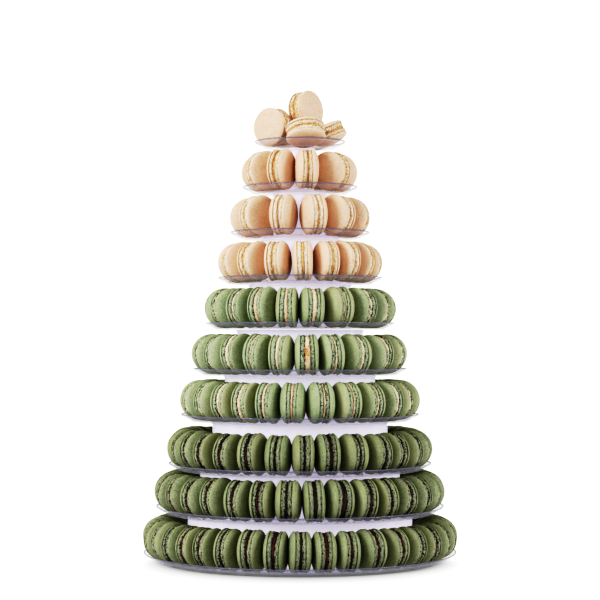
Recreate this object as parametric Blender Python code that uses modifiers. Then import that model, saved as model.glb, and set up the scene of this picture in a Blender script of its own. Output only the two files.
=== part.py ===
"""Macaron tower: ten round clear trays stacked on one another, with macarons standing on edge around them.

Each tray is one moulded piece, a shallow dish with a drum in its middle that carries the tray above.
The macarons of the four upper tiers are single pieces. Those of each wider tier stand so close that
they touch, and they are one closed ring. Units are metres, +Z is up, and the tower stands on z = 0
with its axis on the Z axis. The front of the tower is towards -Y.
"""
import math

import bmesh
import bpy
import numpy as np
from mathutils import Matrix, Vector

# Trays, counted from 1 at the top to 10 at the bottom
TIERS = 10
TOP_RIM_RADIUS = 0.0503
RIM_STEP = 0.01361             # each tray's rim is this much wider in radius than the one above
TIER_PITCH = 0.0504            # from rim to rim in height
DISH_DEPTH = 0.0080            # from the rim down to the underside
LOW_TIER = 8                   # this tray sits lower on its drum than the others
LOW_TIER_DROP = 0.0033
SHEET = 0.0012                 # thickness of the moulded plastic
WALL_RUN = 0.0090              # how far the dish's wall leans outwards
DRUM_INSET = 0.0474            # from a tray's rim in to the drum on it
TOP_TRAY_SIDES = 14            # the trays are turned with two more sides on every second tier down
GAP = 0.0003                   # between pieces that rest on or stand against each other

# Macarons
DIAMETER = 0.0438
DIAMETER_SPREAD = 0.0005
MAX_THICKNESS = 0.0255
EDGE_HALF_WIDTH = 0.0056       # half of the straight edge, the two feet and the filling
CAP_RADIUS = 0.0062            # the flat middle of a shell, whose inner corner meets the neighbour
RIM_SIDES = 8
CAP_SIDES = 4
OVERHANG = 0.0009              # how far a macaron reaches past its tray's rim
PUSH_OUT = 0.010               # a macaron in a tight place stands further out
MAX_OVERHANG = 0.0019
BITE = 0.0003                  # how far touching shells are pressed together
TURN_SPREAD = math.radians(2.2)
LEAN_SPREAD = math.radians(1.6)
FLAT_ANGLE = math.radians(0.1)

# Rows of macarons standing on edge: tier, number, spread of their widths, seed, turn of the row in degrees
ROWS = (
    (2, 9, 0.09, 12669, 195.4),
    (3, 11, 0.07, 2361, 258.7),
    (4, 17, 0.08, 3497, 261.0),
    (5, 19, 0.07, 2329, 166.8),
    (6, 22, 0.07, 1315, 26.6),
    (7, 26, 0.07, 1418, 253.1),
    (8, 29, 0.07, 1778, 194.8),
    (9, 32, 0.07, 2684, 259.9),
    (10, 38, 0.07, 2061, 111.8),
)
LAST_SINGLE_TIER = 4           # down to this tier the macarons don't touch

# The heap on the top tray: name, centre over the tray's floor, compass turn and rise of the macaron's
# axis in degrees, thickness
HEAP = (
    ("left", (-0.0302, -0.0010, 0.0222), -38.0, 0.0, 0.0220),
    ("centre", (0.0060, -0.0292, 0.0138), -164.0, 68.0, 0.0240),
    ("right", (0.0302, 0.0150, 0.0150), -90.0, 64.0, 0.0240),
    ("back", (-0.0131, 0.0301, 0.0142), 30.0, 78.0, 0.0250),
    ("top", (0.0062, 0.0060, 0.0419), 50.0, 4.0, 0.0240),
)

SAGE_TIERS = (5, 6, 7)
COLOURS = {
    "cream": ((0.80, 0.62, 0.45, 1.0), 0.75, 1.0),
    "sage": ((0.38, 0.44, 0.24, 1.0), 0.75, 1.0),
    "moss": ((0.20, 0.24, 0.10, 1.0), 0.75, 1.0),
    "clear_plastic": ((0.88, 0.86, 0.92, 1.0), 0.08, 0.45),
}


def start_clean():
    """Empty the scene and return the collections for the tower and for the pieces that are joined."""
    for item in list(bpy.data.objects):
        bpy.data.objects.remove(item, do_unlink=True)
    tower = bpy.data.collections.new("macaron_tower")
    joining = bpy.data.collections.new("ring_pieces")
    for group in (tower, joining):
        bpy.context.scene.collection.children.link(group)
    return tower, joining


def make_material(name):
    """A Principled material from the COLOURS table: colour, roughness and opacity."""
    colour, roughness, alpha = COLOURS[name]
    material = bpy.data.materials.new(name)
    material.use_nodes = True
    shader = material.node_tree.nodes["Principled BSDF"]
    shader.inputs["Base Color"].default_value = colour
    shader.inputs["Roughness"].default_value = roughness
    shader.inputs["Metallic"].default_value = 0.0
    shader.inputs["Alpha"].default_value = alpha
    return material


def add_object(name, mesh, collection, material):
    """Link a mesh to the scene under a name, with its material."""
    mesh.materials.clear()
    mesh.materials.append(material)
    item = bpy.data.objects.new(name, mesh)
    collection.objects.link(item)
    return item


def rim_radius(tier):
    return TOP_RIM_RADIUS + RIM_STEP * (tier - 1)


def rim_height(tier):
    drop = LOW_TIER_DROP if tier == LOW_TIER else 0.0
    return DISH_DEPTH + TIER_PITCH * (TIERS - tier) - drop


def floor_height(tier):
    return rim_height(tier) - DISH_DEPTH + SHEET


def tray_sides(tier):
    return TOP_TRAY_SIDES + 2 * ((tier - 1) // 2)


def tray_profile(tier):
    """The tray's outline as (radius, height) points, from the axis on top down to the axis below."""
    rim, high = rim_radius(tier), rim_height(tier)
    floor = floor_height(tier)
    floor_edge = rim - WALL_RUN
    points = []
    if tier > 1:
        drum = rim - DRUM_INSET
        seat = rim_height(tier - 1) - DISH_DEPTH - GAP
        points += [(0.0, seat), (drum, seat), (drum, floor)]
    else:
        points += [(0.0, floor)]
    points += [(floor_edge, floor), (rim - SHEET, high), (rim, high)]
    points += [(floor_edge, floor - SHEET), (0.0, floor - SHEET)]
    return points


def make_tray(tier, collection, material):
    """A dish turned about the tower's axis, closed below, with the drum standing on it."""
    name = f"tray_{tier:02d}"
    profile = tray_profile(tier)
    mesh = bpy.data.meshes.new(name)
    edges = [(i, i + 1) for i in range(len(profile) - 1)]
    mesh.from_pydata([(radius, 0.0, height) for radius, height in profile], edges, [])
    tray = add_object(name, mesh, collection, material)
    screw = tray.modifiers.new("turned", "SCREW")
    screw.axis = "Z"
    screw.steps = tray_sides(tier)
    screw.render_steps = tray_sides(tier)
    screw.use_merge_vertices = True
    screw.merge_threshold = 0.0001
    screw.use_smooth_shade = False
    return tray


def macaron_mesh(name, diameter, thickness):
    """A macaron about its own Z axis: the hull of an eight-sided edge and a small flat on each shell."""
    mould = bmesh.new()
    outer = 0.5 * diameter / math.cos(math.pi / RIM_SIDES)
    for side in (-1.0, 1.0):
        for i in range(RIM_SIDES):
            angle = math.tau * (i + 0.5) / RIM_SIDES
            mould.verts.new((outer * math.cos(angle), outer * math.sin(angle), side * EDGE_HALF_WIDTH))
        for i in range(CAP_SIDES):
            angle = math.tau * i / CAP_SIDES
            flat = (CAP_RADIUS * math.cos(angle), CAP_RADIUS * math.sin(angle), 0.5 * side * thickness)
            mould.verts.new(flat)
    bmesh.ops.convex_hull(mould, input=mould.verts)
    bmesh.ops.recalc_face_normals(mould, faces=mould.faces)
    mesh = bpy.data.meshes.new(name)
    mould.to_mesh(mesh)
    mould.free()
    return mesh


def standing_frame(angle, turn, lean):
    """Turn a macaron's own axes so that it stands on edge in a row: X outwards, Y up, Z along the row."""
    outwards = Vector((math.sin(angle), -math.cos(angle), 0.0))
    up = Vector((0.0, 0.0, 1.0))
    along = outwards.cross(up)
    basis = Matrix((outwards, up, along)).transposed().to_4x4()
    return basis @ Matrix.Rotation(turn, 4, "Y") @ Matrix.Rotation(lean, 4, "X")


def row_places(tier, number, spread, seed, phase):
    """Place a tier's macarons: each has a share of the circle as wide as itself.

    Yields the diameter, the thickness and the matrix of each macaron.
    """
    draw = np.random.default_rng(seed)
    width = np.clip(1.0 + spread * draw.standard_normal(number), 1.0 - 2.0 * spread, 1.0 + 2.3 * spread)
    diameter = DIAMETER + DIAMETER_SPREAD * draw.standard_normal(number).clip(-1.5, 1.5)
    turn = TURN_SPREAD * draw.standard_normal(number).clip(-1.8, 1.8)
    lean = LEAN_SPREAD * draw.standard_normal(number).clip(-1.8, 1.8)
    share = math.tau * width / width.sum()
    angle = math.radians(phase) + np.cumsum(share) - 0.5 * share
    overhang = (OVERHANG + PUSH_OUT * (1.0 - width)).clip(0.0, MAX_OVERHANG)
    radius = rim_radius(tier) + overhang - 0.5 * diameter
    wedge = (radius - CAP_RADIUS) * np.tan(0.5 * share)
    slant = CAP_RADIUS * np.abs(np.sin(turn))
    if tier > LAST_SINGLE_TIER:
        thickness = 2.0 * (wedge + BITE + 0.5 * slant)
    else:
        thickness = 2.0 * (wedge - GAP - slant).clip(0.0, 0.5 * MAX_THICKNESS)
    for i in range(number):
        reach = 0.5 * diameter[i] * math.cos(lean[i]) + EDGE_HALF_WIDTH * abs(math.sin(lean[i]))
        centre = Vector((
            radius[i] * math.sin(angle[i]),
            -radius[i] * math.cos(angle[i]),
            floor_height(tier) + GAP + reach,
        ))
        matrix = Matrix.Translation(centre) @ standing_frame(angle[i], turn[i], lean[i])
        yield diameter[i], thickness[i], matrix


def make_single_row(row, collection, material):
    """The macarons of one upper tier, each its own piece."""
    for i, (diameter, thickness, matrix) in enumerate(row_places(*row), start=1):
        name = f"macaron_{row[0]:02d}_{i:02d}"
        piece = add_object(name, macaron_mesh(name, diameter, thickness), collection, material)
        piece.matrix_world = matrix


def merge_flat_faces(mesh):
    """Make one face of the coplanar faces that a union leaves, and drop the points along straight edges."""
    work = bmesh.new()
    work.from_mesh(mesh)
    bmesh.ops.dissolve_limit(work, angle_limit=FLAT_ANGLE, verts=work.verts, edges=work.edges)
    bmesh.ops.triangulate(work, faces=work.faces)
    work.to_mesh(mesh)
    work.free()


def make_ring(row, collection, joining, material):
    """The macarons of one wide tier, each pressed against its neighbours and joined to one closed ring."""
    name = f"macaron_ring_{row[0]:02d}"
    pieces = []
    for i, (diameter, thickness, matrix) in enumerate(row_places(*row)):
        mesh = macaron_mesh(f"{name}_{i:02d}", diameter, thickness)
        mesh.transform(matrix)
        group = collection if i == 0 else joining
        pieces.append(add_object(mesh.name, mesh, group, material))
    ring = pieces[0]
    ring.name = name
    union = ring.modifiers.new("joined", "BOOLEAN")
    union.operation = "UNION"
    union.operand_type = "COLLECTION"
    union.collection = joining
    union.solver = "MANIFOLD"
    joined = bpy.data.meshes.new_from_object(ring.evaluated_get(bpy.context.evaluated_depsgraph_get()))
    merge_flat_faces(joined)
    ring.modifiers.clear()
    ring.data = joined
    for piece in pieces[1:]:
        bpy.data.objects.remove(piece, do_unlink=True)
    return ring


def make_heap(collection, material):
    """The loose macarons on the top tray, leaning on each other."""
    for part, centre, compass, rise, thickness in HEAP:
        name = f"macaron_top_{part}"
        heading = math.radians(compass)
        level = Vector((math.sin(heading), -math.cos(heading), 0.0))
        axis = level * math.cos(math.radians(rise)) + Vector((0.0, 0.0, math.sin(math.radians(rise))))
        turned = axis.to_track_quat("Z", "Y").to_matrix().to_4x4()
        place = Matrix.Translation(Vector(centre) + Vector((0.0, 0.0, floor_height(1))))
        piece = add_object(name, macaron_mesh(name, DIAMETER, thickness), collection, material)
        piece.matrix_world = place @ turned


def build():
    tower, joining = start_clean()
    material = {name: make_material(name) for name in COLOURS}
    for tier in range(1, TIERS + 1):
        make_tray(tier, tower, material["clear_plastic"])
    make_heap(tower, material["cream"])
    for row in ROWS:
        tier = row[0]
        if tier <= LAST_SINGLE_TIER:
            make_single_row(row, tower, material["cream"])
        else:
            green = "sage" if tier in SAGE_TIERS else "moss"
            make_ring(row, tower, joining, material[green])
    bpy.data.collections.remove(joining)


build()
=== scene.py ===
import math

import bpy
import numpy as np
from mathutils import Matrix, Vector


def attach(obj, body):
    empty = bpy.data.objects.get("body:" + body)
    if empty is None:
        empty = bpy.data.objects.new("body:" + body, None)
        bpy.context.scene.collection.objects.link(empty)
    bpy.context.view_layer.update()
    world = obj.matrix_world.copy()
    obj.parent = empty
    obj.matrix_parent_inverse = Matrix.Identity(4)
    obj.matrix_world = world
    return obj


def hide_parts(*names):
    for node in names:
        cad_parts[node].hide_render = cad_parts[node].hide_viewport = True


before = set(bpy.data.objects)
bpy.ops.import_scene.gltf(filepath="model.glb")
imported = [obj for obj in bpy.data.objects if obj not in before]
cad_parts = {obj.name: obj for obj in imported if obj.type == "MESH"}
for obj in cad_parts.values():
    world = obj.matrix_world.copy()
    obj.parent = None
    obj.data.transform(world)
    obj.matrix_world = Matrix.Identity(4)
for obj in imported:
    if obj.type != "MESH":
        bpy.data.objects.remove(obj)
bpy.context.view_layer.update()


# The stand is ten round trays of thin clear plastic, stacked. Each is moulded in one piece: a shallow dish
# with a rolled rim, and in its middle a milky drum with a bead round its top, on which the next tray
# stands.

TIERS = 10                     # counted from 1 at the top
TOP_RIM_RADIUS = 0.0503
RIM_STEP = 0.01361             # each tray's rim is this much wider in radius than the one above
TIER_PITCH = 0.0504            # from rim to rim in height
DISH_DEPTH = 0.0080            # from the rim down to the underside
LOW_TIER = 8                   # this tray sits lower on its drum than the others
LOW_TIER_DROP = 0.0033
SHEET = 0.0012                 # thickness of the moulded plastic
WALL_RUN = 0.0118              # how far the dish's wall leans outwards
DRUM_INSET = 0.0474            # from a tray's rim in to the drum on it
GAP = 0.0003                   # between pieces that rest on or stand against each other

RIM_BEAD = 0.0008              # radius of the rolled rim
DRUM_BEAD = 0.0013             # radius of the bead round a drum's top
WALL_UNDER_BEAD = 0.0012       # how far in from the drum's edge its wall starts
WALL_OVER_FLARE = 0.0008       # and how far in it ends
DRUM_FLARE = 0.0022            # radius of the curve from a drum's wall out to the floor
SEAMS = (-0.66, 0.93, 2.50, 4.08)      # turns of a drum's mould seams, in radians from the front
SEAM_HEIGHT = 0.0005
SEAM_WIDTH = 0.0009
SEAM_ACROSS = (-1.2, -0.5, 0.5, 1.2)   # points across a seam in its widths, the middle two raised
SEAM_REACH = 0.8               # how far from its middle a point still is on a seam, in its widths
TRAY_STEPS = 132               # points round a tray, besides those of the seams

# how milky a part is also sets its share of the plastic's painted glow
UNDERSIDE_MILK = (0.09, 0.07)          # how milky the undersides of floor and wall look
WIDE_UNDERSIDE_MILK = (0.24, 0.13)     # the same on the three widest trays


def rim_radius(tier):
    """The top tray's radius, and one step more for each tray below it."""
    return TOP_RIM_RADIUS + RIM_STEP * (tier - 1)


def rim_height(tier):
    """A dish's depth at the lowest tray, and one pitch more for each tray above it."""
    drop = LOW_TIER_DROP if tier == LOW_TIER else 0.0
    return DISH_DEPTH + TIER_PITCH * (TIERS - tier) - drop


def floor_height(tier):
    """The top of the dish's floor, one thickness of plastic over the tray's underside."""
    return rim_height(tier) - DISH_DEPTH + SHEET


def arc(centre_radius, centre_height, size, first, last, count):
    """Points of a circular arc in the profile's plane, from one angle to another in degrees."""
    turn = np.radians(np.linspace(first, last, count))
    return np.column_stack((centre_radius + size * np.cos(turn), centre_height + size * np.sin(turn)))


def tray_profile(tier):
    """The tray's outline from the axis on top, over drum, floor, wall and rim, to the axis below.

    Returns the (radius, height) points, and for each point how milky it is, how much of it is rim, and
    whether it is on the drum's wall.
    """
    rim, high, floor = rim_radius(tier), rim_height(tier), floor_height(tier)
    under = floor - SHEET
    corner = rim - WALL_RUN
    # Each stretch of the outline is its points, then its three marks
    if tier > 1:
        drum = rim - DRUM_INSET
        seat = rim_height(tier - 1) - DISH_DEPTH - 0.5 * GAP
        top = np.array([(0.0, seat), (0.6 * drum, seat), (drum - 2.2 * DRUM_BEAD, seat)])
        bead = arc(drum - DRUM_BEAD, seat - DRUM_BEAD, DRUM_BEAD, 100.0, -75.0, 8)
        drum_wall = np.column_stack((
            np.linspace(drum - WALL_UNDER_BEAD, drum - WALL_OVER_FLARE, 5),
            np.linspace(seat - 2.6 * DRUM_BEAD, floor + DRUM_FLARE + 0.0010, 5),
        ))
        flare = arc(drum - WALL_OVER_FLARE + DRUM_FLARE, floor + DRUM_FLARE, DRUM_FLARE, 180.0, 270.0, 5)
        middle = [
            (top, 1.0, 0.0, 0.0),
            (bead, 1.0, 0.15, 0.0),
            (drum_wall, 1.0, 0.0, 1.0),
            (flare, 0.8, 0.0, 0.0),
        ]
    else:
        middle = [(np.array([(0.0, floor), (0.5 * corner, floor)]), 0.25, 0.0, 0.0)]
    inner = np.array([
        (corner - 0.0040, floor),              # on the floor
        (corner - 0.0006, floor + 0.0001),     # where the bend to the wall begins
        (corner + 0.0006, floor + 0.0005),     # where it ends
        (rim - 0.0016, high - 0.0018),         # under the rolled rim
    ])
    rolled = arc(rim - RIM_BEAD, high - RIM_BEAD, RIM_BEAD, 165.0, -60.0, 9)
    outer = np.array([
        (rim - 0.0011, high - 0.0021),         # under the rolled rim, outside
        (corner + 0.0012, under + 0.0007),     # where the bend to the underside begins
        (corner + 0.0002, under + 0.0001),
        (corner - 0.0010, under),              # where it ends
        (0.5 * corner, under),
        (0.0, under),
    ])
    floor_milk, wall_milk = WIDE_UNDERSIDE_MILK if tier >= LOW_TIER else UNDERSIDE_MILK
    stretches = middle + [
        (inner, 0.02, 0.0, 0.0),
        (rolled, 0.5 * wall_milk, 1.0, 0.0),
        (outer[:1], wall_milk, 0.35, 0.0),
        (outer[1:3], wall_milk, 0.15, 0.0),
        (outer[3:], floor_milk, 0.0, 0.0),
    ]
    points = np.vstack([stretch[0] for stretch in stretches])
    marks = np.vstack([np.tile(stretch[1:], (len(stretch[0]), 1)) for stretch in stretches])
    return points, marks


def turned_faces(rows, columns):
    """Corners of a closed turned surface: point 0 is the first pole, then the rows, then the last pole.

    Returns the four-sided faces between the rows and the three-sided ones round the poles.
    """
    ring = 1 + np.arange(rows * columns).reshape(rows, columns)
    beside = np.roll(ring, -1, axis=1)
    quads = np.stack((ring[:-1], ring[1:], beside[1:], beside[:-1]), axis=-1).reshape(-1, 4)
    first = np.stack((np.zeros(columns, int), ring[0], beside[0]), axis=-1)
    last = np.stack((np.full(columns, 1 + rows * columns), beside[-1], ring[-1]), axis=-1)
    return quads, np.vstack((first, last))


def put_into_mesh(name, points, quads, triangles, materials, marks, stuff=None):
    """Make an object of the points and faces, with its materials and its named marks on the points.

    Stuff gives each face the number of its material in the list.
    """
    mesh = bpy.data.meshes.new(name)
    corners = np.concatenate((quads.ravel(), triangles.ravel())).astype(np.int32)
    sizes = np.concatenate((np.full(len(quads), 4), np.full(len(triangles), 3)))
    mesh.vertices.add(len(points))
    mesh.vertices.foreach_set("co", points.astype(np.float32).ravel())
    mesh.loops.add(len(corners))
    mesh.loops.foreach_set("vertex_index", corners)
    mesh.polygons.add(len(sizes))
    mesh.polygons.foreach_set("loop_start", (np.cumsum(sizes) - sizes).astype(np.int32))
    for material in materials:
        mesh.materials.append(material)
    if stuff is not None:
        mesh.polygons.foreach_set("material_index", stuff.astype(np.int32))
    mesh.update(calc_edges=True)
    for mark, values in marks.items():
        kind, field = ("FLOAT_VECTOR", "vector") if values.ndim == 2 else ("FLOAT", "value")
        layer = mesh.attributes.new(mark, kind, "POINT")
        layer.data.foreach_set(field, values.astype(np.float32).ravel())
    mesh.polygons.foreach_set("use_smooth", np.ones(len(sizes), bool))
    piece = bpy.data.objects.new(name, mesh)
    bpy.context.scene.collection.objects.link(piece)
    return piece


def make_tray(tier, material):
    """Turn the tray's profile about the tower's axis, with the mould's seams standing out of the drum.

    A point is its radius times the turn's sine to the right and times its cosine to the front.
    """
    profile, marks = tray_profile(tier)
    drum = max(rim_radius(tier) - DRUM_INSET, 0.01)    # the top tray has no drum, so a small one stands in
    even = np.linspace(0.0, math.tau, TRAY_STEPS, endpoint=False)
    across = np.array(SEAMS)[:, None] + np.array(SEAM_ACROSS) * SEAM_WIDTH / drum
    turn = np.unique(np.concatenate((even, across.ravel() % math.tau)))
    away = np.abs((turn[:, None] - np.array(SEAMS) + math.pi) % math.tau - math.pi).min(axis=1) * drum
    ridge = SEAM_HEIGHT * (away < SEAM_REACH * SEAM_WIDTH)
    body, sides = profile[1:-1], marks[1:-1]
    radius = body[:, :1] + sides[:, 2:3] * ridge
    height = np.broadcast_to(body[:, 1:], radius.shape)
    rows = np.stack((radius * np.sin(turn), -radius * np.cos(turn), height), axis=-1)
    top_pole, low_pole = [(0.0, 0.0, profile[0, 1])], [(0.0, 0.0, profile[-1, 1])]
    points = np.vstack((top_pole, rows.reshape(-1, 3), low_pole))
    spread = np.vstack((marks[:1], np.repeat(sides, len(turn), axis=0), marks[-1:]))
    quads, triangles = turned_faces(len(body), len(turn))
    named = {"milky": spread[:, 0], "rim": spread[:, 1]}
    return put_into_mesh(f"clear_tray_{tier:02d}", points, quads, triangles, [material], named)


def new_material(name, roughness):
    """A material, its node tree and its Principled shader, which has the given roughness."""
    material = bpy.data.materials.new(name)
    material.use_nodes = True
    shader = material.node_tree.nodes["Principled BSDF"]
    shader.inputs["Roughness"].default_value = roughness
    return material, material.node_tree, shader


def mark_on(tree, name, output="Fac"):
    """A material's reading of one of the mesh's marks."""
    node = tree.nodes.new("ShaderNodeAttribute")
    node.attribute_name = name
    return node.outputs[output]


def object_place(tree):
    """A point's place on the object, in metres."""
    return tree.nodes.new("ShaderNodeTexCoord").outputs["Object"]


def set_or_link(tree, socket, value):
    """Give a node's socket a number or colour, or another node's output."""
    if isinstance(value, bpy.types.NodeSocket):
        tree.links.new(value, socket)
    else:
        socket.default_value = value


def math_step(tree, operation, *values, clamp=False):
    """A Math node on numbers or other nodes' outputs, its result kept between 0 and 1 if it is clamped."""
    node = tree.nodes.new("ShaderNodeMath")
    node.operation = operation
    node.use_clamp = clamp
    for socket, value in zip(node.inputs, values):
        set_or_link(tree, socket, value)
    return node.outputs[0]


def colour_mix(tree, share, first, second):
    """The first colour where the share is 0, the second where it is 1."""
    node = tree.nodes.new("ShaderNodeMix")
    node.data_type = "RGBA"
    sockets = (node.inputs[0], node.inputs[6], node.inputs[7])     # the share and the two colours
    for socket, value in zip(sockets, (share, first, second)):
        set_or_link(tree, socket, value)
    return node.outputs[2]     # the mixed colour


def noise(tree, place, scale, detail):
    """A Noise Texture on a place, with about 1/scale metres from one spot to the next."""
    node = tree.nodes.new("ShaderNodeTexNoise")
    node.inputs["Scale"].default_value = scale
    node.inputs["Detail"].default_value = detail
    tree.links.new(place, node.inputs["Vector"])
    return node.outputs["Fac"]


def relief(tree, height, strength, depth, under=None):
    """A Bump node: how a surface stands out by a height, over another relief if one is given."""
    node = tree.nodes.new("ShaderNodeBump")
    node.inputs["Strength"].default_value = strength
    node.inputs["Distance"].default_value = depth
    tree.links.new(height, node.inputs["Height"])
    if under is not None:
        tree.links.new(under, node.inputs["Normal"])
    return node.outputs["Normal"]


CLEAR_COLOUR = (0.80, 0.78, 0.88, 1.0)
DRUM_COLOUR = (0.92, 0.90, 0.96, 1.0)
DRUM_SHADE = (0.79, 0.77, 0.87, 1.0)
# the rolled rim's dark grey is painted shade: the dark line that the clear bead shows
PAINTED_RIM_SHADE = (0.19, 0.19, 0.27, 1.0)
NO_GLOW = (0.0, 0.0, 0.0, 1.0)
PAINTED_DRUM_GLOW = (0.84, 0.77, 1.0, 1.0)     # painted glow of the milky plastic, which lightens the drums in the shade between the trays
PAINTED_GLOW_STRENGTH = 0.3
HAZE_SCALE = 70.0              # spots of haze in a metre
EDGE_ON_OPACITY = 0.32         # how much more opaque a wall is when it is looked at edge on
EDGE_ON_POWER = 4.0            # how fast that falls away from edge on
RIM_OPACITY = 0.5
HAZE_OPACITY = 0.05


def clear_plastic_material():
    """Clear moulded plastic, whose colour goes from clear to milky to the rim's.

    Its opacity is how milky it is, plus shares of how edge on it is looked at, to a power, of how much it
    is rim, and of a soft haze. The milky parts give off a faint painted glow, which lightens the drums
    in the shade between the trays.
    """
    material, tree, shader = new_material("clear_plastic", 0.12)
    shader.inputs["IOR"].default_value = 1.5
    shader.inputs["Specular IOR Level"].default_value = 0.3
    milky, rim = mark_on(tree, "milky"), mark_on(tree, "rim")
    haze = noise(tree, object_place(tree), HAZE_SCALE, 3.0)
    streaked = colour_mix(tree, haze, DRUM_COLOUR, DRUM_SHADE)
    drum = colour_mix(tree, milky, CLEAR_COLOUR, streaked)
    # towards the rim the colour nears the painted rim shade
    set_or_link(tree, shader.inputs["Base Color"], colour_mix(tree, rim, drum, PAINTED_RIM_SHADE))
    facing = tree.nodes.new("ShaderNodeLayerWeight")
    facing.inputs["Blend"].default_value = 0.5
    edge_on = math_step(tree, "POWER", facing.outputs["Facing"], EDGE_ON_POWER)
    opaque = math_step(tree, "MULTIPLY_ADD", edge_on, EDGE_ON_OPACITY, milky)
    rolled = math_step(tree, "MULTIPLY_ADD", rim, RIM_OPACITY, opaque)
    cloudy = math_step(tree, "MULTIPLY_ADD", haze, HAZE_OPACITY, rolled, clamp=True)
    set_or_link(tree, shader.inputs["Alpha"], cloudy)
    # painted glow: the milky parts, the drums most, glow faintly to lighten the shade they stand in
    set_or_link(tree, shader.inputs["Emission Color"], colour_mix(tree, milky, NO_GLOW, PAINTED_DRUM_GLOW))
    shader.inputs["Emission Strength"].default_value = PAINTED_GLOW_STRENGTH
    set_or_link(tree, shader.inputs["Normal"], relief(tree, haze, 0.06, 0.001))
    return material


clear_plastic = clear_plastic_material()
for tier in range(1, TIERS + 1):
    tray = make_tray(tier, clear_plastic)
    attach(tray, "root")
    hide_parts(f"tray_{tier:02d}")
    tray.visible_diffuse = False       # the room's light passes the clear plastic


# Macarons of pale almond meringue stand on edge round tiers 2 to 4, and five lie in a heap on the top
# tray. Each is two piped and baked shells, smooth above with a ruffled, porous foot below, stuck
# together with a thin caramel filling.

DIAMETER = 0.0438
DIAMETER_SPREAD = 0.0005
MAX_THICKNESS = 0.0255
EDGE_HALF_WIDTH = 0.0056       # half of a macaron's edge, the two feet and the filling
CAP_RADIUS = 0.0062            # the flattest part of a dome, which meets the neighbour
OVERHANG = 0.0009              # how far a macaron reaches past its tray's rim
PUSH_OUT = 0.010               # a macaron in a tight place stands further out
MAX_OVERHANG = 0.0019
BITE = 0.0003                  # how far touching shells are pressed together
TURN_SPREAD = math.radians(2.2)
LEAN_SPREAD = math.radians(1.6)
LAST_SINGLE_TIER = 4           # down to this tier the macarons don't touch

# Rows of macarons standing on edge: number, spread of their widths, seed, turn of the row in degrees
ROWS = {
    2: (9, 0.09, 12669, 195.4),
    3: (11, 0.07, 2361, 258.7),
    4: (17, 0.08, 3497, 261.0),
    5: (19, 0.07, 2329, 166.8),
    6: (22, 0.07, 1315, 26.6),
    7: (26, 0.07, 1418, 253.1),
    8: (29, 0.07, 1778, 194.8),
    9: (32, 0.07, 2684, 259.9),
    10: (38, 0.07, 2061, 111.8),
}

# The heap on the top tray: name, centre over the tray's floor, compass turn and rise of the macaron's
# axis in degrees, thickness
HEAP = (
    ("left", (-0.0302, -0.0010, 0.0222), -38.0, 0.0, 0.0220),
    ("centre", (0.0060, -0.0292, 0.0138), -164.0, 68.0, 0.0240),
    ("right", (0.0302, 0.0150, 0.0150), -90.0, 64.0, 0.0240),
    ("back", (-0.0131, 0.0301, 0.0142), 30.0, 78.0, 0.0250),
    ("top", (0.0062, 0.0060, 0.0419), 50.0, 4.0, 0.0240),
)

HEAP_SEED = 100                # seed of the heap's first macaron
TIER_SEED = 1000               # a tier's seed is this times its number
HEAP_FILLING = (0.0011, 0.0019)        # thinnest and thickest filling
CREAM_FILLING = (0.0010, 0.0020)
HEAP_SHADE = 0.50              # mean tint of the shells: the more, the deeper their colour
CREAM_SHADES = {2: 0.38, 3: 0.35, 4: 0.32}     # the same for each tier


def bell_draws(draw, shape, spread, lowest, highest):
    """Random numbers on a bell curve about 0, cut off at a lowest and a highest number of spreads."""
    return spread * draw.standard_normal(shape).clip(lowest, highest)


def row_places(tier):
    """Where a tier's macarons stand, from the same draws as the solids.

    The drawn widths share out the full turn. A macaron's centre is half its diameter in from the rim, and
    out again by its overhang. Its half thickness is what its share of the turn leaves at the inner corner
    of its cap, less a gap on the single tiers, plus a bite where macarons touch. It is turned about the
    upright, and it leans along the row.

    Returns diameters, thicknesses, axes (three columns: outwards, up, along the row) and centres.
    """
    number, spread, seed, phase = ROWS[tier]
    draw = np.random.default_rng(seed)
    width = 1.0 + bell_draws(draw, number, spread, -2.0, 2.3)
    diameter = DIAMETER + bell_draws(draw, number, DIAMETER_SPREAD, -1.5, 1.5)
    turn = bell_draws(draw, number, TURN_SPREAD, -1.8, 1.8)
    lean = bell_draws(draw, number, LEAN_SPREAD, -1.8, 1.8)
    share = math.tau * width / width.sum()
    angle = math.radians(phase) + np.cumsum(share) - 0.5 * share
    overhang = (OVERHANG + PUSH_OUT * (1.0 - width)).clip(0.0, MAX_OVERHANG)
    radius = rim_radius(tier) + overhang - 0.5 * diameter
    wedge = (radius - CAP_RADIUS) * np.tan(0.5 * share)
    slant = CAP_RADIUS * np.abs(np.sin(turn))
    if tier > LAST_SINGLE_TIER:
        thickness = 2.0 * (wedge + BITE + 0.5 * slant)
    else:
        thickness = 2.0 * (wedge - GAP - slant).clip(0.0, 0.5 * MAX_THICKNESS)
    reach = 0.5 * diameter * np.cos(lean) + EDGE_HALF_WIDTH * np.abs(np.sin(lean))
    height = floor_height(tier) + GAP + reach
    centre = np.stack((radius * np.sin(angle), -radius * np.cos(angle), height), axis=-1)
    none = np.zeros(number)
    outwards = np.stack((np.sin(angle), -np.cos(angle), none), axis=-1)
    up = np.stack((none, none, none + 1.0), axis=-1)
    along = np.cross(outwards, up)
    level = np.cos(turn)[:, None] * outwards - np.sin(turn)[:, None] * along
    across = np.sin(turn)[:, None] * outwards + np.cos(turn)[:, None] * along
    second = np.cos(lean)[:, None] * up + np.sin(lean)[:, None] * across
    third = np.cos(lean)[:, None] * across - np.sin(lean)[:, None] * up
    return diameter, thickness, np.stack((level, second, third), axis=-1), centre


def on_axis(height):
    """One point on each macaron's axis, at its height."""
    return np.stack((0.0 * height, 0.0 * height, height), axis=-1)[:, None]


def round_axis(radius, height, turn):
    """Points round each macaron's axis: the radius times the turn's cosine and sine, and the height."""
    grid = np.stack((radius * np.cos(turn), radius * np.sin(turn), height), axis=-1)
    return grid.reshape(len(radius), -1, 3)


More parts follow.
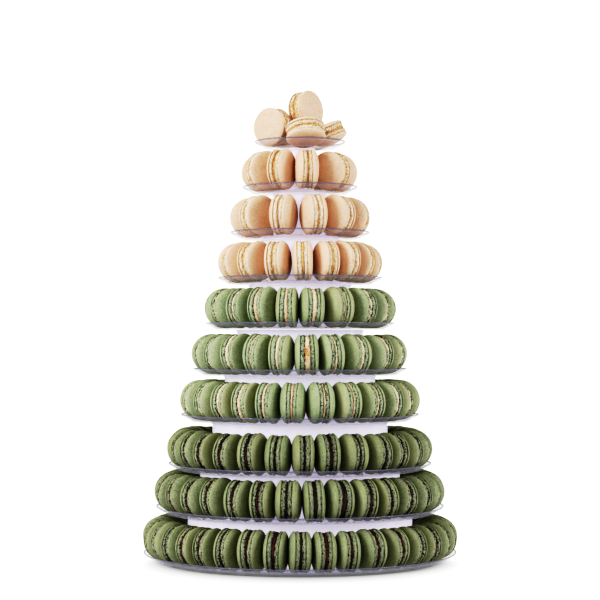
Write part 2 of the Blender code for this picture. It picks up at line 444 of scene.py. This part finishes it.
COLUMNS = 66                   # points round a shell
FOOT_HEIGHT = 0.0050
FOOT_HEIGHTS = (0.86, 1.12)    # the lowest and the highest foot, as shares of that
FOOT_ROWS = np.array((0.00, 0.10, 0.30, 0.55, 0.80, 1.00))            # up the foot
FOOT_INSET = np.array((2.10, 1.25, 0.78, 0.68, 0.95, 1.45)) * 1e-3    # in from the dome's edge
FOOT_RUFFLE = np.array((0.20, 0.36, 0.42, 0.38, 0.32, 0.16)) * 1e-3   # spread in and out
FOOT_LIFT = np.array((1.8, 1.6, 1.0, 1.0, 1.0, 0.7)) * 0.14e-3        # spread up and down
RUFFLE_CARRY = 0.6             # share of a ruffle that the next point round takes over
# The dome's rows from its lip up, as shares of the radius
DOME_ROWS = np.array((0.978, 1.000, 0.984, 0.935, 0.850, 0.70, 0.49, 0.24))
DOME_POWER = 3.0
LIP = (-0.03, 0.06)            # heights of the first two rows, the rolled lip, as shares of the dome's
LIP_BANDS = (1.02, 1.00)       # the lip's two rows, 1 being the dome's edge
FOOT_BANDS = 2.0 - 0.96 * FOOT_ROWS    # the foot's rows, 2 being at the filling
MEAN_OUTLINE = 0.994           # of a shell, as a share of its radius
TWO_LOBES = 0.007              # how far the outline swings, twice round
THREE_LOBES = 0.004            # and three times round
DOME_LIFT = 0.03               # how much higher a dome is on one side


def shell_points(draw, radius, half, base, slope, lowest, side):
    """One shell of each macaron, about the macaron's Z axis, on side 1 or -1 of the filling.

    Going up from the filling, the foot's radius is the macaron's radius less an inset, with a random
    ruffle. The dome's edge overhangs the foot with a rolled lip, and above it the radius is a share of the
    macaron's radius, and the height is the foot's and the dome's rise times the square root of 1 less that
    share to a power. The outline is a little oval. The underside, at the height of the base, tips by the
    slope, up at one angle and down opposite, so the filling is a wedge.

    Returns points and their bands: 0 in the middle of the dome, 1 at its edge, 2 at the filling.
    """
    number = len(radius)
    turn = np.linspace(0.0, math.tau, COLUMNS, endpoint=False)
    lobes = draw.uniform(0.0, math.tau, (2, number, 1, 1))
    underside = base[:, None, None] + slope[:, None, None] * np.cos(turn - lowest[:, None, None])
    swing = TWO_LOBES * np.cos(2.0 * (turn + lobes[0])) + THREE_LOBES * np.cos(3.0 * (turn + lobes[1]))
    outline = radius[:, None, None] * (MEAN_OUTLINE + swing)
    foot_height = FOOT_HEIGHT * draw.uniform(*FOOT_HEIGHTS, (number, 1, 1))
    ruffle = bell_draws(draw, (number, len(FOOT_ROWS), COLUMNS), 1.0, -2.2, 1.2)
    ruffle += RUFFLE_CARRY * np.roll(ruffle, 1, axis=2)
    lift = bell_draws(draw, (number, len(FOOT_ROWS), COLUMNS), 1.0, -1.5, 1.5)
    foot_radius = outline - FOOT_INSET[:, None] + FOOT_RUFFLE[:, None] * ruffle
    foot = underside + foot_height * FOOT_ROWS[:, None] + FOOT_LIFT[:, None] * lift
    rise = half[:, None, None] - underside - foot_height
    swell = 1.0 + DOME_LIFT * np.cos(turn + lobes[1]) * DOME_ROWS[:, None]
    arch = np.concatenate((LIP, (1.0 - DOME_ROWS[2:] ** DOME_POWER) ** 0.5))[:, None]
    dome = underside + foot_height + rise * arch * swell
    rings = np.concatenate((foot_radius, outline * DOME_ROWS[:, None]), axis=1)
    heights = np.concatenate((foot, dome), axis=1)
    points = np.concatenate((on_axis(base), round_axis(rings, heights, turn), on_axis(half)), axis=1)
    bands = np.repeat(np.concatenate((FOOT_BANDS, LIP_BANDS, DOME_ROWS[2:])), COLUMNS)
    return points * np.array((1.0, side, side)), np.concatenate(([2.0], bands, [0.0]))


FILLING_COLUMNS = 44           # points round a filling
FILLING_ROWS = np.array((-0.65, -0.30, 0.30, 0.65))    # heights in thicknesses, up into both shells
FILLING_INSET = np.array((3.1, 1.6, 1.6, 3.1)) * 1e-3  # in from the dome's edge
FILLING_BULGE = 0.0004         # spread of the edge in and out
FILLING_WAVER = 0.07           # spread of the rows' heights, in thicknesses


def filling_points(draw, radius, middle, room, slope, lowest):
    """The filling between the feet: a disc, thicker on one side, whose edge bulges out unevenly.

    A row's radius is the macaron's less an inset. Its height is a share of the disc's thickness, which is
    the room plus twice the slope times the cosine of the turn.
    """
    shape = (len(radius), len(FILLING_ROWS), FILLING_COLUMNS)
    turn = np.linspace(0.0, math.tau, FILLING_COLUMNS, endpoint=False)
    thick = room[:, None, None] + 2.0 * slope[:, None, None] * np.cos(turn - lowest[:, None, None])
    bulge = bell_draws(draw, shape, FILLING_BULGE, -2.0, 1.6)
    waver = bell_draws(draw, shape, FILLING_WAVER, -1.8, 1.8)
    rings = radius[:, None, None] - FILLING_INSET[:, None] + bulge
    heights = middle[:, None, None] + thick * (FILLING_ROWS[:, None] + waver)
    low = on_axis(middle + FILLING_ROWS[0] * room)
    high = on_axis(middle + FILLING_ROWS[-1] * room)
    return np.concatenate((low, round_axis(rings, heights, turn), high), axis=1)


SHIFT_SPREAD = 0.0005          # how far a filling is off its macaron's middle
FILLING_WEDGE = (0.1, 0.6)     # how far a shell's underside tips, in halves of the filling's thickness
TINT_SPREAD = 0.16             # how differently the shells and fillings are coloured
PATTERN_SPREAD = 4.0           # metres over which the macarons' patterns are taken
MOST_FADED = 0.5               # how far a shell's colour is at most towards the faded one
POROUS = (-0.03, 0.04)         # least and most added to the holes, for fewer and for more pits


def make_macarons(name, seed, diameter, thickness, axes, centre, filling, materials, shade):
    """Macarons in one piece: two shells and a filling each, set in their places.

    Each is made about its own Z axis, turned by its axes and moved to its centre. The filling's thickness
    is drawn between two limits, and the shells have what is left.
    """
    draw = np.random.default_rng(seed)
    number = len(diameter)
    radius, half = 0.5 * diameter, 0.5 * thickness
    room = draw.uniform(*filling, number)
    shift = bell_draws(draw, number, SHIFT_SPREAD, -1.4, 1.4)
    slope = 0.5 * room * draw.uniform(*FILLING_WEDGE, number)
    lowest = draw.uniform(0.0, math.tau, number)
    upper, band = shell_points(draw, radius, half, shift + 0.5 * room, slope, lowest, 1.0)
    lower, _ = shell_points(draw, radius, half, 0.5 * room - shift, slope, -lowest, -1.0)
    middle = filling_points(draw, radius, shift, room, slope, lowest)
    own = np.concatenate((upper, lower, middle), axis=1)
    points = np.einsum("nij,nkj->nki", axes, own) + centre[:, None]
    size = upper.shape[1]
    first = np.arange(number)[:, None, None] * own.shape[1]
    faces, stuffs = [], []
    shell = turned_faces(len(FOOT_ROWS) + len(DOME_ROWS), COLUMNS)
    disc = turned_faces(len(FILLING_ROWS), FILLING_COLUMNS)
    for on_shell, on_disc in zip(shell, disc):     # the four-sided faces, then the three-sided ones
        one = np.concatenate((on_shell, on_shell + size, on_disc + 2 * size))[:, ::-1]
        faces.append((one[None] + first).reshape(-1, one.shape[1]))
        stuffs.append(np.tile(np.repeat((0, 0, 1), (len(on_shell), len(on_shell), len(on_disc))), number))
    tint = shade + bell_draws(draw, (number, 3), TINT_SPREAD, -1.6, 1.6)
    per_point = np.repeat((0, 1, 2), (size, size, middle.shape[1]))
    apart = draw.uniform(0.0, PATTERN_SPREAD, (number, 1, 3))
    faded = MOST_FADED * draw.random(number) ** 2
    porous = draw.uniform(*POROUS, number)
    marks = {
        "band": np.tile(np.concatenate((band, band, np.zeros(middle.shape[1]))), number),
        "tint": tint[:, per_point].ravel(),
        "own_place": (own + apart).reshape(-1, 3),
        "faded": np.repeat(faded, own.shape[1]),
        "porous": np.repeat(porous, own.shape[1]),
    }
    return put_into_mesh(name, points.reshape(-1, 3), *faces, materials, marks, np.concatenate(stuffs))


def rise_from(tree, value, start, steepness):
    """How far a value is past a start, times the steepness, kept between 0 and 1."""
    return math_step(tree, "MULTIPLY", math_step(tree, "SUBTRACT", value, start), steepness, clamp=True)


def peak_at(tree, value, place, steepness, height):
    """The height, less how far a value is from a place times the steepness, kept between 0 and 1."""
    away = math_step(tree, "ABSOLUTE", math_step(tree, "SUBTRACT", value, place))
    return math_step(tree, "MULTIPLY_ADD", away, -steepness, height, clamp=True)


MOTTLE_SCALE = 130.0           # spots in a metre
SPECKLE_SCALE = 650.0
PIT_SCALE = 740.0
PIT_SQUASH = (1.0, 1.0, 1.7)   # how much lower than long the pits are
PIT_ROWS = 0.058               # how much thicker the pits are in their two rows
MOTTLE_SHARE = 0.9             # how much the mottle and the speckle deepen the dome's colour
SPECKLE_SHARE = 3.4
PALE_LIMIT = 2.15              # the sum of mottle, speckle and tint up to which the dome stays pale
EDGE_BAND = 0.99               # the dome's edge
FOOT_BAND = 1.01               # where the foot begins under it
CREASE_BAND = 1.08             # the crease at the top of the foot


def shell_material(name, pale, deep, faded, foot, crease, pit, pit_share, seep):
    """Baked meringue: satin and faintly mottled on the dome, lighter and full of pits on the foot.

    A dome's colour goes from pale to deep with the sum of its mottle, its speckle and its tint. The
    dome's edge leans halfway to the foot's colour, a painted highlight along the lip, and the foot has the
    foot's colour. The crease between them is darker and the pits darker still, both painted shade in these
    hollows. The pits are thickest in two rows, under the dome's edge and beside the filling, where the
    cosine of the band in whole turns is highest. They are drawn out along the foot.
    """
    material, tree, shader = new_material(name, 0.55)
    shader.inputs["Specular IOR Level"].default_value = 0.5
    shader.inputs["Subsurface Weight"].default_value = 0.35
    shader.inputs["Subsurface Radius"].default_value = seep
    shader.inputs["Subsurface Scale"].default_value = 0.004
    own, tint, band = mark_on(tree, "own_place", "Vector"), mark_on(tree, "tint"), mark_on(tree, "band")
    mottle = noise(tree, own, MOTTLE_SCALE, 4.0)
    speckle = noise(tree, own, SPECKLE_SCALE, 3.0)
    over_limit = math_step(tree, "SUBTRACT", tint, PALE_LIMIT)
    speckled = math_step(tree, "MULTIPLY_ADD", speckle, SPECKLE_SHARE, over_limit)
    patches = math_step(tree, "MULTIPLY_ADD", mottle, MOTTLE_SHARE, speckled, clamp=True)
    dome = colour_mix(tree, mark_on(tree, "faded"), colour_mix(tree, patches, pale, deep), faded)
    # painted highlight: a light line of the foot's colour along the dome's lip
    lip_highlighted = colour_mix(tree, peak_at(tree, band, EDGE_BAND, 25.0, 0.5), dome, foot)
    on_foot = rise_from(tree, band, FOOT_BAND, 12.0)
    skin = colour_mix(tree, on_foot, lip_highlighted, foot)
    # painted shade: the crease under the lip is darkened towards the crease colour, unevenly with the
    # mottle
    in_crease = peak_at(tree, band, CREASE_BAND, 12.0, 1.0)
    shaded = math_step(tree, "MULTIPLY", math_step(tree, "MULTIPLY", in_crease, mottle), 1.5, clamp=True)
    crease_shaded = colour_mix(tree, shaded, skin, crease)
    squash = tree.nodes.new("ShaderNodeMapping")
    squash.inputs["Scale"].default_value = PIT_SQUASH
    tree.links.new(own, squash.inputs["Vector"])
    holes = noise(tree, squash.outputs["Vector"], PIT_SCALE, 1.5)
    rows = math_step(tree, "COSINE", math_step(tree, "MULTIPLY", band, math.tau))
    porous = math_step(tree, "ADD", holes, mark_on(tree, "porous"))
    thick = math_step(tree, "MULTIPLY_ADD", rows, PIT_ROWS, porous)
    # painted shade: the foot's holes take the pit colour, near black on the greens and browned on the
    # cream
    pits = math_step(tree, "MULTIPLY", rise_from(tree, thick, pit_share, 30.0), on_foot)
    set_or_link(tree, shader.inputs["Base Color"], colour_mix(tree, pits, crease_shaded, pit))
    grain = relief(tree, speckle, 0.5, 0.0005)
    lumps = relief(tree, mottle, 0.25, 0.0008, grain)
    sunk = relief(tree, math_step(tree, "MULTIPLY", pits, -1.0), 0.8, 0.0008, lumps)
    set_or_link(tree, shader.inputs["Normal"], sunk)
    return material


CLOT_SCALE = 850.0             # spots in a metre


def filling_material(name, pale, deep, roughness):
    """A soft filling, smooth, whose colour goes from pale to deep with its clots and its tint."""
    material, tree, shader = new_material(name, roughness)
    clots = noise(tree, mark_on(tree, "own_place", "Vector"), CLOT_SCALE, 2.0)
    uneven = math_step(tree, "MULTIPLY_ADD", mark_on(tree, "tint"), 0.30, clots)
    streaks = rise_from(tree, uneven, 0.50, 4.0)
    set_or_link(tree, shader.inputs["Base Color"], colour_mix(tree, streaks, pale, deep))
    set_or_link(tree, shader.inputs["Normal"], relief(tree, clots, 0.5, 0.0006))
    return material


cream_shell = shell_material(
    "cream_shell",
    pale=(0.81, 0.599, 0.455, 1.0),
    deep=(0.66, 0.468, 0.340, 1.0),
    faded=(0.80, 0.565, 0.425, 1.0),
    foot=(0.87, 0.738, 0.61, 1.0),
    # the crease colour is painted shade, partly browned meringue on the cream
    crease=(0.62, 0.36, 0.17, 1.0),
    # the pit colour is painted shade in the holes, partly browned meringue on the cream
    pit=(0.60, 0.33, 0.13, 1.0),
    pit_share=0.52,
    seep=(1.0, 0.75, 0.55),
)
caramel = filling_material(
    "caramel_filling", pale=(0.80, 0.57, 0.33, 1.0), deep=(0.48, 0.23, 0.07, 1.0), roughness=0.45,
)

for number, (part, centre, compass, rise, thickness) in enumerate(HEAP):
    heading, slope = math.radians(compass), math.radians(rise)
    axis = Vector((
        math.sin(heading) * math.cos(slope),
        -math.cos(heading) * math.cos(slope),
        math.sin(slope),
    ))
    axes = np.array(axis.to_track_quat("Z", "Y").to_matrix())[None]
    place = np.array(centre)[None] + np.array((0.0, 0.0, floor_height(1)))
    macaron = make_macarons(
        f"heap_macaron_{part}", HEAP_SEED + number, np.array([DIAMETER]), np.array([thickness]), axes,
        place, HEAP_FILLING, [cream_shell, caramel], HEAP_SHADE,
    )
    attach(macaron, "root")
    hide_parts(f"macaron_top_{part}")

for tier, shade in CREAM_SHADES.items():
    for i, (diameter, thickness, axes, centre) in enumerate(zip(*row_places(tier))):
        macaron = make_macarons(
            f"cream_macaron_{tier:02d}_{i + 1:02d}", TIER_SEED * tier + i, diameter[None],
            thickness[None], axes[None], centre[None], CREAM_FILLING, [cream_shell, caramel], shade,
        )
        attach(macaron, "root")
        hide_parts(f"macaron_{tier:02d}_{i + 1:02d}")


# Sage green macarons stand close together round tiers 5 to 7, each tier a full ring. They are the same
# baked meringue, coloured green, with a pale peach filling.

SAGE_FILLING = (0.0023, 0.0041)
SAGE_SHADES = {5: 0.45, 6: 0.3, 7: 0.45}

sage_shell = shell_material(
    "sage_shell",
    pale=(0.412, 0.450, 0.314, 1.0),
    deep=(0.268, 0.325, 0.198, 1.0),
    faded=(0.45, 0.425, 0.265, 1.0),
    foot=(0.402, 0.450, 0.326, 1.0),
    # the crease colour is painted shade in the recess under the lip
    crease=(0.07, 0.09, 0.04, 1.0),
    # the pit colour is painted shade in the foot's holes
    pit=(0.008, 0.013, 0.005, 1.0),
    pit_share=0.548,
    seep=(0.9, 0.75, 0.35),
)
peach = filling_material(
    "peach_filling", pale=(0.90, 0.75, 0.58, 1.0), deep=(0.58, 0.42, 0.27, 1.0), roughness=0.6,
)

for tier, shade in SAGE_SHADES.items():
    ring = make_macarons(
        f"sage_macaron_ring_{tier:02d}", TIER_SEED * tier, *row_places(tier), SAGE_FILLING,
        [sage_shell, peach], shade,
    )
    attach(ring, "root")
    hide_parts(f"macaron_ring_{tier:02d}")


# Moss green macarons fill the three widest tiers, 8 to 10, again in full rings. Their filling is a dark
# berry chocolate cream, and their feet are full of deep pits.

MOSS_FILLING = (0.0008, 0.0034)
MOSS_SHADES = {8: 0.7, 9: 0.5, 10: 0.35}

moss_shell = shell_material(
    "moss_shell",
    pale=(0.326, 0.354, 0.240, 1.0),
    deep=(0.220, 0.248, 0.145, 1.0),
    faded=(0.345, 0.338, 0.198, 1.0),
    foot=(0.312, 0.336, 0.233, 1.0),
    # the crease colour is painted shade in the recess under the lip
    crease=(0.04, 0.05, 0.02, 1.0),
    # the pit colour is painted shade in the foot's holes
    pit=(0.003, 0.004, 0.002, 1.0),
    pit_share=0.541,
    seep=(0.9, 0.75, 0.35),
)
chocolate = filling_material(
    "chocolate_filling", pale=(0.12, 0.020, 0.029, 1.0), deep=(0.018, 0.0035, 0.005, 1.0), roughness=0.5,
)

for tier, shade in MOSS_SHADES.items():
    ring = make_macarons(
        f"moss_macaron_ring_{tier:02d}", TIER_SEED * tier, *row_places(tier), MOSS_FILLING,
        [moss_shell, chocolate], shade,
    )
    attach(ring, "root")
    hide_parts(f"macaron_ring_{tier:02d}")


# Crumbs of meringue and filling lie on the trays between the macarons, most of them on tier 8, and a few
# stick to one macaron of tier 6. Each is an uneven chip of 24 faces.

CRUMBS = {2: 8, 3: 8, 4: 12, 5: 10, 6: 12, 7: 14, 8: 70, 9: 30, 10: 36}    # loose crumbs on each tier
CRUMB_SEED = 77
CRUMB_SIZE = (0.0005, 0.0014)
CORNER_REACH = (0.7, 1.2)      # how far out a chip's corners are, as shares of its size
FLATTENING = (0.6, 1.0)        # how much of it is left across, along and up
FROM_WALL = (0.0005, 0.007)    # how far in from the dish's wall the loose crumbs lie
BERRY_SHARE = 0.45             # share of filling in the crumbs from tier 8 down
STUCK_TIER = 6
STUCK_SIDE = 0.0062            # how far to the right of the middle their macaron stands
STUCK_HEIGHTS = (0.2190, 0.2215, 0.2240, 0.2262, 0.2290, 0.2312, 0.2335)
STUCK_SPREAD = 0.0026          # how far from the middle of its edge they stick
STUCK_DEPTH = 0.0002           # how far they are pressed in
STUCK_GROWTH = 1.7             # how much larger they are than the loose ones
CRUMB_COLOUR = (0.62, 0.28, 0.06, 1.0)
GREEN_CRUMB_COLOUR = (0.25, 0.28, 0.12, 1.0)
BERRY_COLOUR = (0.20, 0.035, 0.03, 1.0)
CRUMB_GRAIN_COLOUR = (0.64, 0.48, 0.30, 1.0)
CRUMB_GRAIN_SCALE = 2500.0     # spots in a metre


def crumb_shape():
    """Directions of a chip's 14 corners, and its faces.

    Eight corners are a cube's, and six are the middles of its sides pushed out. Each side is four
    triangles round its middle.
    """
    cube = np.array([(x, y, z) for x in (-1, 1) for y in (-1, 1) for z in (-1, 1)]) / math.sqrt(3.0)
    middles = np.concatenate((np.eye(3), -np.eye(3)))
    faces = []
    for side in range(6):
        way, axis = (1, side) if side < 3 else (-1, side - 3)
        ring = []
        for u, v in ((-1, -1), (1, -1), (1, 1), (-1, 1))[::way]:
            corner = [0, 0, 0]
            corner[axis], corner[(axis + 1) % 3], corner[(axis + 2) % 3] = way, u, v
            ring.append(4 * (corner[0] > 0) + 2 * (corner[1] > 0) + (corner[2] > 0))
        faces += [(8 + side, ring[i], ring[(i + 1) % 4]) for i in range(4)]
    return np.concatenate((cube, middles)), np.array(faces)


def crumb_material():
    """Dry meringue or dark filling, rough and grainy, in the colour that the crumb's marks choose."""
    material, tree, shader = new_material("crumb", 0.8)
    meringue = colour_mix(tree, mark_on(tree, "green"), CRUMB_COLOUR, GREEN_CRUMB_COLOUR)
    shade = colour_mix(tree, mark_on(tree, "berry"), meringue, BERRY_COLOUR)
    grain = noise(tree, mark_on(tree, "own_place", "Vector"), CRUMB_GRAIN_SCALE, 2.0)
    grainy = colour_mix(tree, math_step(tree, "MULTIPLY", grain, 0.6), shade, CRUMB_GRAIN_COLOUR)
    set_or_link(tree, shader.inputs["Base Color"], grainy)
    set_or_link(tree, shader.inputs["Normal"], relief(tree, grain, 0.6, 0.0002))
    return material


draw = np.random.default_rng(CRUMB_SEED)
spots, kinds = [], []          # where each crumb lies, and how green and how much berry it is
for tier, count in CRUMBS.items():
    angle = draw.uniform(0.0, math.tau, count)
    reach = rim_radius(tier) - WALL_RUN - draw.uniform(*FROM_WALL, count)
    height = np.full(count, floor_height(tier))
    green = np.full(count, float(tier > LAST_SINGLE_TIER))
    berry = draw.random(count) < BERRY_SHARE * (tier >= LOW_TIER)
    spots.append(np.stack((reach * np.sin(angle), -reach * np.cos(angle), height), axis=-1))
    kinds.append(np.stack((green, berry), axis=-1))

diameters, _, axes, centres = row_places(STUCK_TIER)
aside = np.where(centres[:, 1] < 0.0, np.abs(centres[:, 0] - STUCK_SIDE), np.inf)
stuck = aside.argmin()         # the macaron of the front half that stands nearest to that side
heights = np.array(STUCK_HEIGHTS)
out = np.sqrt((0.5 * diameters[stuck] - STUCK_DEPTH) ** 2 - (heights - centres[stuck, 2]) ** 2)
along = draw.uniform(-STUCK_SPREAD, STUCK_SPREAD, len(heights))
away = np.stack((out, along), axis=-1) @ axes[stuck][:2, ::2].T
spots.append(np.column_stack((centres[stuck, :2] + away, heights - CRUMB_SIZE[0])))
kinds.append(np.zeros((len(heights), 2)))

spots, kinds = np.concatenate(spots), np.concatenate(kinds)
corners, crumb_faces = crumb_shape()
size = draw.uniform(*CRUMB_SIZE, (len(spots), 1, 1))
size = size * draw.uniform(*CORNER_REACH, (len(spots), len(corners), 1))
size[-len(heights):] *= STUCK_GROWTH
chips = corners * size * draw.uniform(*FLATTENING, (len(spots), 1, 3))
chips[:, :, 2] -= chips[:, :, 2].min(axis=1, keepdims=True)
first = np.arange(len(spots))[:, None, None] * len(corners)
crumbs = put_into_mesh(
    "crumbs",
    (chips + spots[:, None]).reshape(-1, 3),
    np.zeros((0, 4), int),
    (crumb_faces[None] + first).reshape(-1, 3),
    [crumb_material()],
    {
        "green": np.repeat(kinds[:, 0], len(corners)),
        "berry": np.repeat(kinds[:, 1], len(corners)),
        "own_place": chips.reshape(-1, 3) + draw.uniform(0.0, 1.0, (1, 3)),
    },
)
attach(crumbs, "root")


# The tower stands on a plain white floor in a white room, lit softly by three square panels to the left,
# to the right and above. The camera stands two metres in front, a little under the tower's middle, and
# looks slightly up.

FLOOR_SIZE = 12.0
# a grey base, so that the glow sets the floor's brightness and the painted shadow shows
FLOOR_COLOUR = (0.35, 0.35, 0.35, 1.0)
PAINTED_SHADOW_GLOW = 0.03             # the floor's low glow next to the tower, a painted shadow
BRIGHT_GLOW = 1.00             # and further out
PAINTED_SHADOW_START = 0.149            # how far from the axis the glow starts to rise
PAINTED_SHADOW_START_FRONT = 0.019      # how much further out that is in front
PAINTED_SHADOW_WIDTH = 0.012            # over what distance it rises
PAINTED_SHADOW_WIDTH_FRONT = 0.060      # how much wider that is in front


def floor_material():
    """White floor with a painted shadow where it meets the tower, mostly in front, and plain white further
    out.

    The glow rises from its least to its full strength over a band that starts near the lowest tray's edge
    and is widest in front. The low glow is the painted shadow, and the grey base colour keeps the lamps
    from lighting it away.
    """
    material, tree, shader = new_material("studio_floor", 0.9)
    shader.inputs["Base Color"].default_value = FLOOR_COLOUR
    place = object_place(tree)
    apart = tree.nodes.new("ShaderNodeSeparateXYZ")
    tree.links.new(place, apart.inputs[0])
    length = tree.nodes.new("ShaderNodeVectorMath")
    length.operation = "LENGTH"
    tree.links.new(place, length.inputs[0])
    distance = length.outputs["Value"]
    towards = math_step(tree, "DIVIDE", math_step(tree, "MULTIPLY", apart.outputs["Y"], -1.0), distance)
    front = math_step(tree, "MAXIMUM", towards, 0.0)
    start = math_step(tree, "MULTIPLY_ADD", front, PAINTED_SHADOW_START_FRONT, PAINTED_SHADOW_START)
    width = math_step(tree, "MULTIPLY_ADD", front, PAINTED_SHADOW_WIDTH_FRONT, PAINTED_SHADOW_WIDTH)
    share = math_step(tree, "DIVIDE", math_step(tree, "SUBTRACT", distance, start), width, clamp=True)
    # the painted shadow: low glow near the tower, rising to plain white further out
    glow = math_step(tree, "MULTIPLY_ADD", share, BRIGHT_GLOW - PAINTED_SHADOW_GLOW, PAINTED_SHADOW_GLOW)
    shader.inputs["Emission Color"].default_value = (1.0, 1.0, 1.0, 1.0)
    set_or_link(tree, shader.inputs["Emission Strength"], glow)
    return material


floor_mesh = bpy.data.meshes.new("floor")
reach = 0.5 * FLOOR_SIZE
floor_corners = [(-reach, -reach, 0.0), (reach, -reach, 0.0), (reach, reach, 0.0), (-reach, reach, 0.0)]
floor_mesh.from_pydata(floor_corners, [], [(0, 1, 2, 3)])
floor = bpy.data.objects.new("floor", floor_mesh)
floor_mesh.materials.append(floor_material())
bpy.context.scene.collection.objects.link(floor)
floor.visible_diffuse = False

PANEL_SIZE = 0.9
PANEL_AIM = Vector((0.0, 0.0, 0.26))   # the middle of the tower
PANELS = (
    ("left_panel", (-1.72, -1.44, 0.78), 20.0),
    ("right_panel", (2.07, -0.84, 0.82), 17.0),
    ("top_panel", (-1.04, -0.49, 2.25), 9.0),
)

for name, place, power in PANELS:
    lamp = bpy.data.lights.new(name, "AREA")
    lamp.shape = "SQUARE"
    lamp.size = PANEL_SIZE
    lamp.energy = power
    panel = bpy.data.objects.new(name, lamp)
    panel.location = place
    panel.rotation_euler = (PANEL_AIM - Vector(place)).to_track_quat("-Z", "Y").to_euler()
    bpy.context.scene.collection.objects.link(panel)

# The picture's tones: how bright a thing is, and how bright it is shown
TONES = ((0.02, 0.0025), (0.06, 0.0165), (0.15, 0.147), (0.30, 0.52), (0.50, 0.78), (0.75, 0.93))

view = bpy.context.scene.view_settings
view.view_transform = "Standard"
view.use_curve_mapping = True
view.curve_mapping.extend = "EXTRAPOLATED"
brightness = view.curve_mapping.curves[3]      # the curve for all three colours together
for seen, shown in TONES:
    brightness.points.new(seen, shown)
view.curve_mapping.update()

AMBIENT = 0.317                # the room's light on the tower
BACKGROUND = 0.9               # how much brighter the room is where it is seen directly

world = bpy.data.worlds.new("studio")
bpy.context.scene.world = world
world.use_nodes = True
sky = world.node_tree.nodes["Background"]
sky.inputs["Color"].default_value = (1.0, 1.0, 1.0, 1.0)
seen_directly = world.node_tree.nodes.new("ShaderNodeLightPath").outputs["Is Camera Ray"]
room_light = math_step(world.node_tree, "MULTIPLY_ADD", seen_directly, BACKGROUND, AMBIENT)
set_or_link(world.node_tree, sky.inputs["Strength"], room_light)

CAMERA_PLACE = (0.0, -2.0, 0.2417)
SENSOR = 36.0                  # millimetres
LENS = 108.0
PICTURE_WIDTH = 600.0          # pixels
HORIZON = 39.0                 # how many pixels the horizon is under the picture's middle

eye = bpy.data.cameras.new("camera")
eye.sensor_width = SENSOR
eye.lens = LENS
camera = bpy.data.objects.new("camera", eye)
camera.location = CAMERA_PLACE
upwards = math.atan(HORIZON / PICTURE_WIDTH * SENSOR / LENS)
camera.rotation_euler = (math.radians(90.0) + upwards, 0.0, 0.0)
bpy.context.scene.collection.objects.link(camera)
bpy.context.scene.camera = camera
